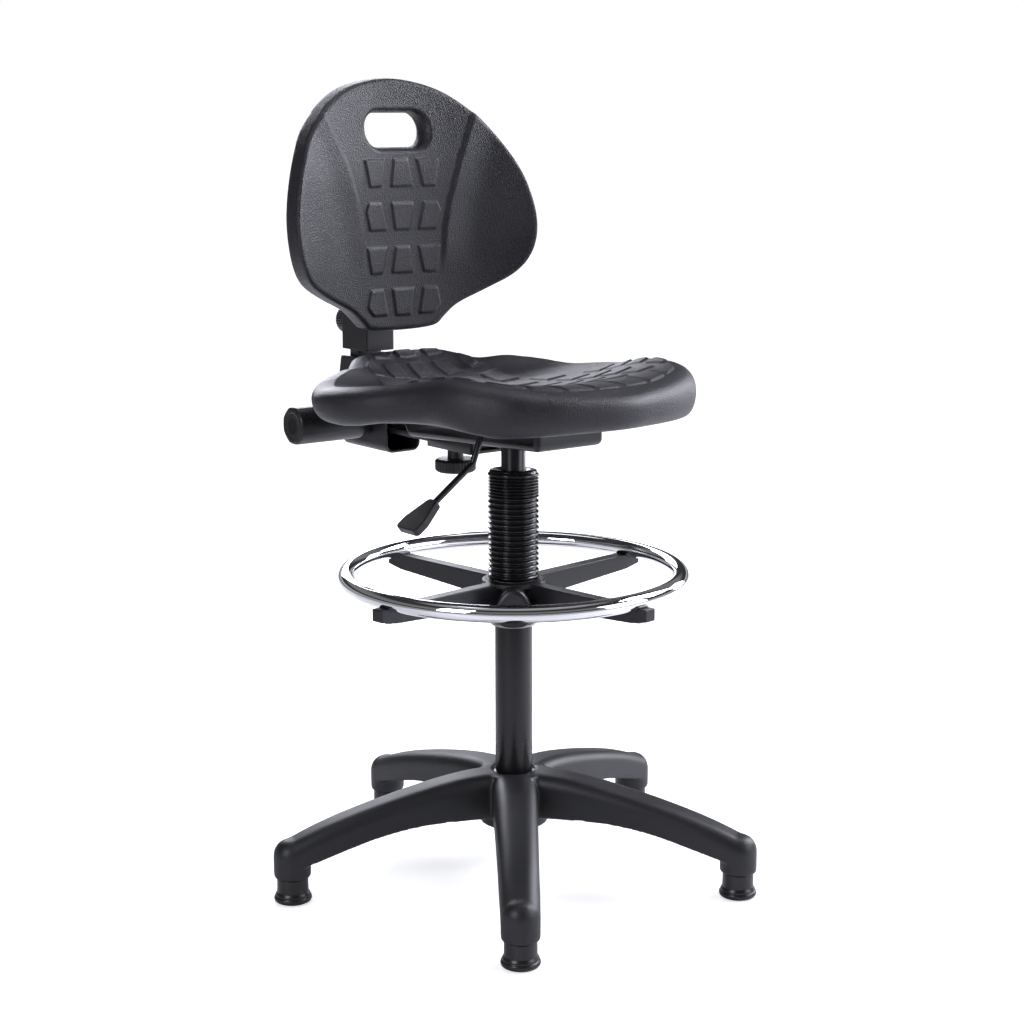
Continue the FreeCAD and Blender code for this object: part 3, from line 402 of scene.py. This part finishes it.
def seat_pads():
    """Outlines of the raised pads, on both sides of the seat's middle."""
    shapes = []
    rear = [((238, 280), -17, 17, ((30, 58),)), ((188, 228), -17, 17, ((29, 60), (70, 92))),
            ((120, 172), -19, 19, ((28, 62), (73, 106)))]
    for (low, high), first, last, spans in rear:
        shapes.append([(first, low), (last, low), (last - 3, high), (first + 3, high)])
        for left, right in spans:
            shapes.append([(left, low), (right, low), (right - 5, high), (left - 3, high)])
    middle = [((62, 104), ((5, 44), (54, 94), (104, 142))), ((10, 47), ((5, 44), (54, 94), (104, 142), (152, 186))),
              ((-36, 2), ((5, 44), (54, 94), (104, 142), (152, 182))), ((-80, -45), ((5, 44), (54, 94), (104, 138), (147, 172))),
              ((-124, -89), ((5, 44), (54, 94), (104, 138), (146, 168)))]
    for (low, high), spans in middle:
        for left, right in spans:
            shapes.append([(left + 3, low), (right, low), (right - 3, high), (left, high)])
    mirrored = [[(-x, y) for x, y in shape] for shape in shapes if shape[0][0] > 0]
    front = []
    for left, right in ((-19, 19), (25, 64), (70, 107), (113, 146)):
        bend = [0.0006 * left * abs(left), 0.0006 * right * abs(right)]
        lift = [0.0007 * left ** 2, 0.0007 * right ** 2]
        shape = [(left - bend[0] * 0.3, -197 + lift[0]), (right - bend[1] * 0.3, -197 + lift[1]),
                 (right, -140 + lift[1] * 0.7), (left, -140 + lift[0] * 0.7)]
        front.append(shape)
        if left > 0:
            front.append([(-x, y) for x, y in shape])
    return shapes + mirrored + front


def build_seat():
    count = 840
    edge = closed_curve(full_loop(SEAT_HALF), count)
    normal = outward(edge)
    half_width = edge[edge[:, 0] > 0]
    half_width = half_width[np.argsort(half_width[:, 1])]
    shapes = seat_pads()

    def top(x, y):
        width = np.maximum(np.interp(y, half_width[:, 1], half_width[:, 0]) - 22, 20)
        reach = np.clip(np.abs(x) / width, 0, 1)
        steep = 2.3 + 2.5 * soft_step((y - 180) / 50)
        centre = smooth_table(SEAT_CENTRE, y)
        return centre + (smooth_table(SEAT_SIDE, y) - centre) * reach ** steep

    knots = np.array(SEAT_RIM)
    steps = np.linspace(0, len(knots) - 1, 45)
    offsets = np.interp(steps, range(len(knots)), knots[:, 0])
    drops = np.interp(steps, range(len(knots)), knots[:, 1])
    shares = np.interp(steps, range(len(knots)), knots[:, 2])
    kernel = np.array([1, 2, 3, 2, 1]) / 9
    for track in (offsets, drops, shares):
        track[2:-2] = np.convolve(track, kernel, "valid")
    inner = edge + normal * offsets[-1]
    crest = top(inner[:, 0], inner[:, 1])
    rings = []
    base = edge + normal * offsets[0]
    middle = np.array([0.0, 10.0])
    for share in np.linspace(0.06, 1, 14)[:-1]:
        spot = middle + (base - middle) * share
        foot = smooth_table(SEAT_FOOT, spot[:, 1])
        rings.append(np.c_[spot, np.maximum(foot, 634.6)])
    for offset, drop, share in zip(offsets, drops, shares):
        spot = edge + normal * offset
        foot = np.maximum(smooth_table(SEAT_FOOT, edge[:, 1]), 634.6) - drop * along_y(SEAT_DROP, edge[:, 1])
        rings.append(np.c_[spot, foot + (crest - foot) * share])
    for share in np.linspace(1, 0.012, 170)[1:]:
        spot = middle + (inner - middle) * share
        x, y = spot[:, 0], spot[:, 1]
        height = top(x, y)
        relief = np.zeros(count)
        for shape in shapes:
            relief = np.maximum(relief, pad_relief(x, y, shape, 2.2, 3.4))
        rings.append(np.c_[spot, height + relief])
    points, faces = strips(rings, ("flat", "flat"))
    seat = mesh("seat_pad_look", points, faces)
    dress(seat, "seat_pad")
    return seat


build_seat()


# ---------------------------------------------------------------- backrest

BACK_HALF = [
    (0, 1065), (66, 1054), (113, 1029), (151, 993), (180, 945), (195, 900), (199, 860), (191, 822),
    (170, 793), (132, 771.5), (90, 752), (69, 735), (52, 723), (0, 720),
]
HOLE = (49.0, 972.0, 1018.0)
BACK_LEAN = [(700, 0), (930, 0), (955, 2.5), (995, 9), (1035, 17), (1075, 26)]
BACK_WINGS = [(700, 36), (760, 38), (785, 52), (810, 55), (840, 55), (870, 52), (940, 45), (1000, 38), (1070, 34)]
BACK_MIDDLE = np.array([0.0, 995.0])


def back_pads():
    shapes = []
    rows = [(917, 957, 0), (858, 898, 1), (799, 838, 0), (740, 780, 2)]
    for low, high, kind in rows:
        if kind == 0:
            middle = [(-20, low), (20, low), (13, high), (-13, high)]
            side = [(33, low), (56, low), (63, high), (24, high)]
        else:
            drop = 12 if kind == 1 else 25
            middle = [(-14, low), (14, low), (20, high), (-20, high)]
            side = [(24, low), (57, low), (64, high - drop), (58, high), (34, high)]
            if kind == 2:
                side = [(24, low + 1), (52, low + 1), (63, low + 14), (57, high), (32, high)]
        shapes += [middle, side, [(-x, z) for x, z in side]]
    return shapes


def crease_x(z):
    """Where the centre band meets a wing, at height z."""
    return np.interp(z, [790, 860, 900, 950, 1012, 1060], [64, 68, 76, 92, 120, 150])


def back_front(x, z):
    reach = np.abs(x)
    face = 252 + smooth_table(BACK_LEAN, z) - smooth_table(BACK_WINGS, z) * (reach / 195) ** 2.2
    line = crease_x(z)
    fade = soft_step((z - 790) / 60) * (1 - soft_step((z - 1010) / 30))
    step = soft_step((reach - line + 5) / 10)
    dip = np.exp(-((reach - line - 38) / 26) ** 2)
    face = face - 3.6 * step * fade * np.exp(-np.maximum(reach - line, 0) / 46) + 2.4 * dip * fade
    lower = soft_step((800 - z) / 70)
    return face - 3.0 * lower * (reach / 120) ** 2


def build_back():
    count = 960
    edge = closed_curve(full_loop(BACK_HALF), count)
    edge = edge[np.argsort(np.arctan2(edge[:, 0] - BACK_MIDDLE[0], edge[:, 1] - BACK_MIDDLE[1]))]
    normal = outward(edge)
    angles = np.arctan2(edge[:, 0] - BACK_MIDDLE[0], edge[:, 1] - BACK_MIDDLE[1])
    half, low, high = HOLE
    radius = (high - low) / 2 - 1.0
    straight = half - radius
    reach = np.empty(count)
    for i, angle in enumerate(angles):
        ray = np.array([math.sin(angle), math.cos(angle)])
        near, far = 0.0, 90.0
        for _ in range(40):
            t = (near + far) / 2
            x, z = abs(ray[0]) * t, abs(ray[1]) * t
            gap = math.hypot(max(x - straight, 0), max(z - 1.0, 0)) - radius
            near, far = (t, far) if gap < 0 else (near, t)
        reach[i] = (near + far) / 2
    hole = BACK_MIDDLE + np.c_[np.sin(angles), np.cos(angles)] * reach[:, None]
    hole_normal = outward(hole)
    thickness = 36.0
    shapes = back_pads()

    def rear(x, z):
        face = back_front(x, z) + thickness
        inside = np.minimum(np.minimum(72.0 - np.abs(x), z - 738.0), 907.0 - z)
        pocket = soft_step((inside + 1.5) / 3.0)
        return face * (1 - pocket) + 282.3 * pocket

    def placed(spot, depth):
        """Points in x, y, z from x, z and a share of the thickness, 0 at the front."""
        front, back = back_front(spot[:, 0], spot[:, 1]), back_front(spot[:, 0], spot[:, 1]) + thickness
        return np.c_[spot[:, 0], front + (back - front) * depth, spot[:, 1]]

    rings = []
    turns = np.linspace(-math.pi / 2, math.pi / 2, 19)
    lip = 9.0
    for turn in turns:
        spot = hole + hole_normal * lip * (1 - math.cos(turn))
        rings.append(placed(spot, 0.5 + 0.5 * math.sin(turn)))
    # rings now run from the front, through the hole, to the back
    start = hole + hole_normal * lip
    rim = 8.0
    stop = edge - normal * rim
    for share in np.linspace(0, 1, 92)[1:-1]:
        spot = start + (stop - start) * share
        rings.append(np.c_[spot[:, 0], rear(spot[:, 0], spot[:, 1]), spot[:, 1]])
    for turn in turns[::-1]:
        spot = edge - normal * rim * (1 - (1 - abs(math.sin(turn)) ** 5) ** 0.34)
        rings.append(placed(spot, 0.5 + 0.5 * math.sin(turn)))
    for share in np.linspace(1, 0, 150)[1:-1]:
        spot = start + (stop - start) * share
        x, z = spot[:, 0], spot[:, 1]
        relief = np.zeros(count)
        for shape in shapes:
            relief = np.maximum(relief, pad_relief(x, z, shape, 2.4, 3.6))
        rings.append(np.c_[x, back_front(x, z) - relief, z])
    points, faces = strips(rings, closed=True)
    back = mesh("back_pad_look", points, faces)
    dress(back, "back_pad")


build_back()


# ---------------------------------------------------------------- base and glides

moulded("base_star", cell=1.7, passes=24)

GLIDE_PROFILE = eased([(0, 0.2), (21.0, 0.2), (23.6, 1.6), (25.0, 4.6), (24.4, 7.6), (22.6, 9.2), (22.9, 10.6), (22.2, 12.2),
                       (20.7, 14.4), (20.5, 24.0), (20.5, 33.4), (12.0, 33.9), (0, 33.9)], 1.0)
for number in range(1, 6):
    low, high = node_mm("glide_%d" % number)
    middle = (low + high) / 2
    dress(lathe("glide_%d_look" % number, GLIDE_PROFILE, at=(middle.x, middle.y, 0)), "glide_%d" % number)


# ---------------------------------------------------------------- column, gas spring and bellows

rounded("column_tube", 0.5)
rounded("gas_cylinder", 0.5)


def build_bellows():
    low, high = node_mm("bellows")
    cuff = 8.0
    profile = [(26.2, low.z + 0.4), (31.5, low.z + 0.4), (33.6, low.z + 1.2), (33.6, low.z + 4.0)]
    tight, loose = 7, 15
    tight_pitch = 4.1
    loose_pitch = (high.z - low.z - 4.0 - cuff - tight * tight_pitch) / loose
    height = low.z + 4.0
    for fold in range(tight + loose):
        pitch = loose_pitch if fold < loose else tight_pitch
        for step in range(12):
            wave = 0.5 + 0.5 * math.cos(2 * math.pi * step / 12)
            profile.append((30.2 + 3.7 * wave ** 0.7, height + pitch * step / 12))
        height += pitch
    top = high.z - cuff
    profile += [(33.6, top), (33.8, top + 1.2), (33.2, top + 2.6), (31.6, top + 3.4), (31.4, top + 5.6), (30.4, top + 7.2),
                (28.6, high.z - 0.3), (24.0, high.z - 0.2), (19.5, high.z - 1.6), (17.0, high.z - 2.6), (16.3, high.z - 4.0), (16.3, high.z - 7.0)]
    def ripple(turns, radius, height):
        wobble = 0.12 * np.sin(3 * turns + height * 0.13) + 0.08 * np.sin(7 * turns - height * 0.2)
        return radius + (wobble if radius > 20 else 0)
    skirt = lathe("bellows_look", profile, count=144, shape=ripple, ends=(None, None))
    for vertex in skirt.data.vertices:
        lift = float(soft_step((vertex.co.z / MM - top + 36.0) / 36.0))
        vertex.co.z -= lift * (0.045 * vertex.co.x + 0.03 * (vertex.co.y - COLUMN_Y) + 0.9 * MM)
    skirt.data.materials.clear()
    skirt.data.materials.append(MATERIALS["bellows_plastic"])
    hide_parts("bellows")
    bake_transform(skirt)


build_bellows()


# ---------------------------------------------------------------- foot ring

def build_ring():
    low, high = node_mm("foot_ring")
    tube = (high.z - low.z) / 2
    reach = (high.x - low.x) / 2 - tube
    level = (high.z + low.z) / 2
    rings = []
    for turn in np.linspace(0, 2 * math.pi, 360, endpoint=False):
        wave = np.linspace(0, 2 * math.pi, 48, endpoint=False)
        radius = reach + tube * np.cos(wave)
        rings.append(np.c_[radius * math.cos(turn), radius * math.sin(turn), level + tube * np.sin(wave)])
    points, faces = strips(rings, closed=True)
    dress(mesh("foot_ring_look", points, faces), "foot_ring")


build_ring()
moulded("ring_hub", cell=0.8, passes=6)


def build_ring_knob():
    low, high = node_mm("ring_knob")
    middle = (low + high) / 2
    flat = Vector((middle.x, middle.y, 0)).normalized()
    start = flat * 46.0
    start.z = middle.z
    def lobes(turns, radius, height):
        side = radius - 4.0 * (radius / 28.0) * (1 - np.cos(3 * (turns - LOBE_TURN))) / 2
        return side - (0.35 * (np.sin(60 * turns) > 0) if 4 < height < 17 else 0)
    profile = eased([(0, 0.2), (12, 0.2), (13.5, 3.0), (24.0, 4.6), (27.4, 6.2), (28.0, 9.0), (28.0, 16.0), (26.4, 19.6),
                     (22.0, 21.4), (11.0, 20.6), (9.6, 20.0), (0, 20.0)], 1.2)
    dress(lathe("ring_knob_look", profile, at=start, direction=flat, count=240, shape=lobes), "ring_knob")


LOBE_TURN = math.pi / 2
build_ring_knob()


# ---------------------------------------------------------------- mechanism, levers and knobs

for name in ("mechanism_housing", "column_socket", "arm_channel", "back_arm", "back_post", "back_plate"):
    rounded(name, 0.7)
for name, cell, passes in (("post_cap", 0.5, 3), ("hinge_cover", 0.8, 8), ("back_block", 0.8, 5), ("lever_paddle", 0.5, 8),
                           ("lever_rod", 0.5, 10)):
    moulded(name, cell=cell, passes=passes)


def knurled(name, node_name, radius, span, at, direction, flutes, depth, neck=None):
    """Round hand knob with flutes round its rim; span is its thickness and neck (radius, length) its boss."""
    rim = 3.0
    corners = [(0, 0.6), (radius * 0.42, 0.6), (radius * 0.46, 0.0), (radius - rim, 0.0), (radius, rim), (radius, span - rim),
               (radius - rim, span)]
    if neck:
        corners += [(neck[0] + 0.6, span), (neck[0], span + 1.0), (neck[0], span + neck[1] - 0.4), (0, span + neck[1] - 0.4)]
    else:
        corners += [(0, span)]
    def flute(turns, reach, height):
        if reach < radius - 1.2 or height > span:
            return np.full(len(turns), float(reach))
        return reach - depth * (0.5 + 0.5 * np.cos(flutes * turns)) ** 2
    thing = lathe(name, eased(corners, 1.0), at=at, direction=direction, count=flutes * 10, shape=flute)
    return dress(thing, node_name)


low, high = node_mm("depth_knob")
knurled("depth_knob_look", "depth_knob", (high.x - low.x) / 2, 18.0, ((low.x + high.x) / 2, (low.y + high.y) / 2, low.z), (0, 0, 1), 36, 0.8,
        neck=(10.8, high.z - low.z - 18.0))
low, high = node_mm("height_knob")
knurled("height_knob_look", "height_knob", 21.0, 21.0, (0, high.y, (low.z + high.z) / 2), (0, -1, 0), 32, 0.7,
        neck=(10.0, high.y - low.y - 21.0))
low, high = node_mm("tilt_handle")
length = high.x - low.x
girth = (high.z - low.z) / 2


def facet(turns, reach, height):
    """A round grip with eight shallow flats near its outer end."""
    if reach < 20:
        return np.full(len(turns), float(reach))
    flat = np.cos((turns + math.pi / 8) % (math.pi / 4) - math.pi / 8)
    share = max(0.0, 1 - abs(height) / length)
    return reach * (1 - 0.5 * share * (1 - 0.924 / flat) * 0.9)


grip = eased([(0, 0.8), (girth - 9, 0.8), (girth - 8, 0.2), (girth - 2.4, 0.2), (girth, 2.6), (girth, length * 0.5), (girth, length - 14.0),
              (girth - 5.0, length - 0.2), (11.0, length - 0.2)], 1.6)
dress(lathe("tilt_handle_look", grip, at=(low.x, (low.y + high.y) / 2, (low.z + high.z) / 2), direction=(1, 0, 0), count=160,
            shape=facet, ends=("flat", None)), "tilt_handle")


# ---------------------------------------------------------------- studio

def floor_and_light():
    disc = bpy.data.meshes.new("studio_floor")
    side = 60.0
    disc.from_pydata([(-side, -side, -0.0004), (side, -side, -0.0004), (side, side, -0.0004), (-side, side, -0.0004)], [], [(0, 1, 2, 3)])
    floor = bpy.data.objects.new("studio_floor", disc)
    bpy.context.scene.collection.objects.link(floor)
    material = shader("studio_floor", (0.82, 0.82, 0.83), 0.6, vary=0.01, grain=[("noise", 40.0, 0.01)])
    tree = material.node_tree
    glow = tree.nodes.new("ShaderNodeEmission")
    place = tree.nodes.new("ShaderNodeTexCoord")
    distance = tree.nodes.new("ShaderNodeVectorMath")
    distance.operation = "LENGTH"
    fade = tree.nodes.new("ShaderNodeMapRange")
    fade.inputs["From Min"].default_value = 0.3
    fade.inputs["From Max"].default_value = 2.6
    fade.inputs["To Min"].default_value = 0.60
    fade.inputs["To Max"].default_value = 1.02
    tree.links.new(place.outputs["Object"], distance.inputs[0])
    tree.links.new(distance.outputs["Value"], fade.inputs["Value"])
    tree.links.new(fade.outputs["Result"], glow.inputs["Strength"])
    path = tree.nodes.new("ShaderNodeLightPath")
    dark = tree.nodes.new("ShaderNodeEmission")
    dark.inputs["Strength"].default_value = 0.0
    choose = tree.nodes.new("ShaderNodeMixShader")
    both = tree.nodes.new("ShaderNodeAddShader")
    tree.links.new(path.outputs["Is Camera Ray"], choose.inputs["Fac"])
    tree.links.new(dark.outputs["Emission"], choose.inputs[1])
    tree.links.new(glow.outputs["Emission"], choose.inputs[2])
    tree.links.new(tree.nodes["Principled BSDF"].outputs["BSDF"], both.inputs[0])
    tree.links.new(choose.outputs["Shader"], both.inputs[1])
    tree.links.new(both.outputs["Shader"], tree.nodes["Material Output"].inputs["Surface"])
    disc.materials.append(material)
    world = bpy.data.worlds.new("studio")
    bpy.context.scene.world = world
    world.use_nodes = True
    tree = world.node_tree
    sky = tree.nodes["Background"]
    sky.inputs["Strength"].default_value = 1.0
    coords = tree.nodes.new("ShaderNodeTexCoord")
    split = tree.nodes.new("ShaderNodeSeparateXYZ")
    bands = tree.nodes.new("ShaderNodeValToRGB")
    levels = ((0.0, 0.55), (0.06, 0.50), (0.11, 0.03), (0.24, 0.04), (0.34, 0.20), (0.55, 0.16), (0.66, 0.03), (0.82, 0.04), (0.92, 0.35))
    while len(bands.color_ramp.elements) < len(levels):
        bands.color_ramp.elements.new(0.5)
    for element, (height, level) in zip(bands.color_ramp.elements, levels):
        element.position = height
        element.color = (level * 0.97, level * 0.98, level, 1)
    tree.links.new(coords.outputs["Generated"], split.inputs["Vector"])
    tree.links.new(split.outputs["Z"], bands.inputs["Fac"])
    tree.links.new(bands.outputs["Color"], sky.inputs["Color"])
    seen = tree.nodes.new("ShaderNodeBackground")
    seen.inputs["Color"].default_value = (1, 1, 1, 1)
    seen.inputs["Strength"].default_value = 1.0
    path = tree.nodes.new("ShaderNodeLightPath")
    mix = tree.nodes.new("ShaderNodeMixShader")
    tree.links.new(path.outputs["Is Camera Ray"], mix.inputs["Fac"])
    tree.links.new(sky.outputs["Background"], mix.inputs[1])
    tree.links.new(seen.outputs["Background"], mix.inputs[2])
    tree.links.new(mix.outputs["Shader"], tree.nodes["World Output"].inputs["Surface"])
    target = Vector((0, COLUMN_Y, 0.65))
    for name, place, size, power in (
        ("key", (2.5, -0.7, 2.3), (1.3, 1.6), 98.0),
        ("right", (2.8, 0.1, 0.95), (0.9, 1.2), 26.0),
        ("side", (-2.6, -0.7, 1.8), (1.0, 1.8), 40.0),
        ("front", (1.8, -2.4, 1.3), (1.8, 1.8), 38.0),
        ("top", (0.3, 0.5, 3.0), (1.6, 1.6), 13.0),
        ("rear", (1.0, 2.5, 1.5), (1.4, 1.4), 36.0),
    ):
        lamp = bpy.data.lights.new(name, "AREA")
        lamp.shape = "RECTANGLE"
        lamp.size, lamp.size_y = size
        lamp.energy = power
        lamp.color = (0.90, 0.91, 1.0)
        thing = bpy.data.objects.new(name, lamp)
        bpy.context.scene.collection.objects.link(thing)
        thing.location = place
        thing.rotation_euler = (target - Vector(place)).to_track_quat("-Z", "Y").to_euler()


floor_and_light()
bpy.context.scene.view_settings.view_transform = "Standard"
bpy.context.scene.view_settings.look = "None"
camera = bpy.data.cameras.new("photo_view")
camera.lens = 69.93
camera.sensor_width = 36.0
eye = bpy.data.objects.new("photo_view", camera)
bpy.context.scene.collection.objects.link(eye)
heading, pitch = math.radians(37.4), 0.1976
look = Vector((math.sin(heading) * math.cos(pitch), math.cos(heading) * math.cos(pitch), -math.sin(pitch)))
eye.location = (-1.5654, -2.0444 + COLUMN_Y, 1.0164)
eye.rotation_euler = (look.to_track_quat("-Z", "Y").to_matrix() @ Matrix.Rotation(-0.002, 3, "Z")).to_euler()
bpy.context.scene.camera = eye
